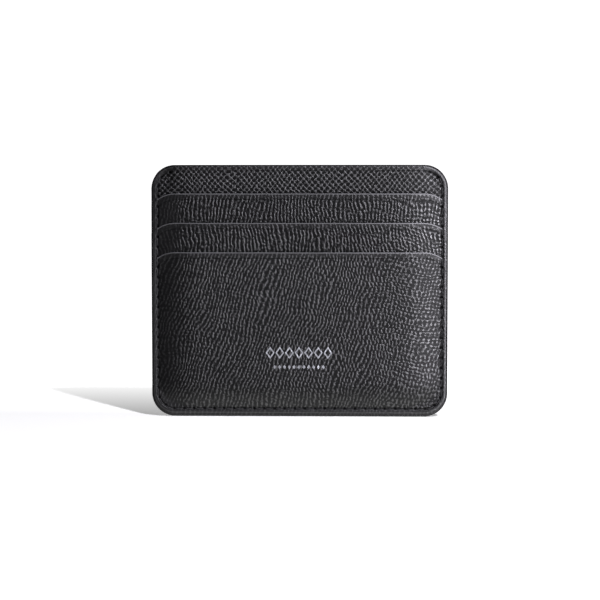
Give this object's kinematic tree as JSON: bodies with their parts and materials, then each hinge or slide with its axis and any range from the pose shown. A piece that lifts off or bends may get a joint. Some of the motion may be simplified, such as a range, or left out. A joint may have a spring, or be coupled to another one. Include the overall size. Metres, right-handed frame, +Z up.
{
  "type": "card holder",
  "caption": "Flat upright leather card holder with stepped card pockets on both faces and an open centre compartment, sewn down the sides and along the bottom.",
  "frame": {"origin": "middle of the flat bottom edge, halfway through the thickness", "axes": "+X along the width, +Y towards the rear face (the front face looks to -Y), +Z up to the open top edge"},
  "size_m": [0.1, 0.0083, 0.085],
  "materials": {
    "black_leather": "grained black calf leather with a soft sheen",
    "black_textile": "fine black twill lining",
    "black_edge_paint": "smooth satin black edge paint",
    "black_thread": "waxed black thread",
    "grey_foil": "matt grey-silver stamping foil"
  },
  "bodies": {
    "root": {"front_centre_lining": "black_textile", "front_panel": "black_leather", "front_top_pocket_bag": "black_textile", "front_middle_pocket_bag": "black_textile", "front_top_pocket": "black_leather", "front_middle_pocket": "black_leather", "front_bottom_pocket": "black_leather", "front_panel_edge_paint": "black_edge_paint", "front_top_mouth_paint": "black_edge_paint", "front_middle_mouth_paint": "black_edge_paint", "front_bottom_mouth_paint": "black_edge_paint", "front_seam_thread": "black_thread", "front_foil_ornament": "grey_foil", "rear_centre_lining": "black_textile", "rear_panel": "black_leather", "rear_top_pocket_bag": "black_textile", "rear_middle_pocket_bag": "black_textile", "rear_top_pocket": "black_leather", "rear_middle_pocket": "black_leather", "rear_bottom_pocket": "black_leather", "rear_panel_edge_paint": "black_edge_paint", "rear_top_mouth_paint": "black_edge_paint", "rear_middle_mouth_paint": "black_edge_paint", "rear_bottom_mouth_paint": "black_edge_paint", "rear_seam_thread": "black_thread", "side_and_bottom_edge_paint": "black_edge_paint"}
  },
  "joints": []
}
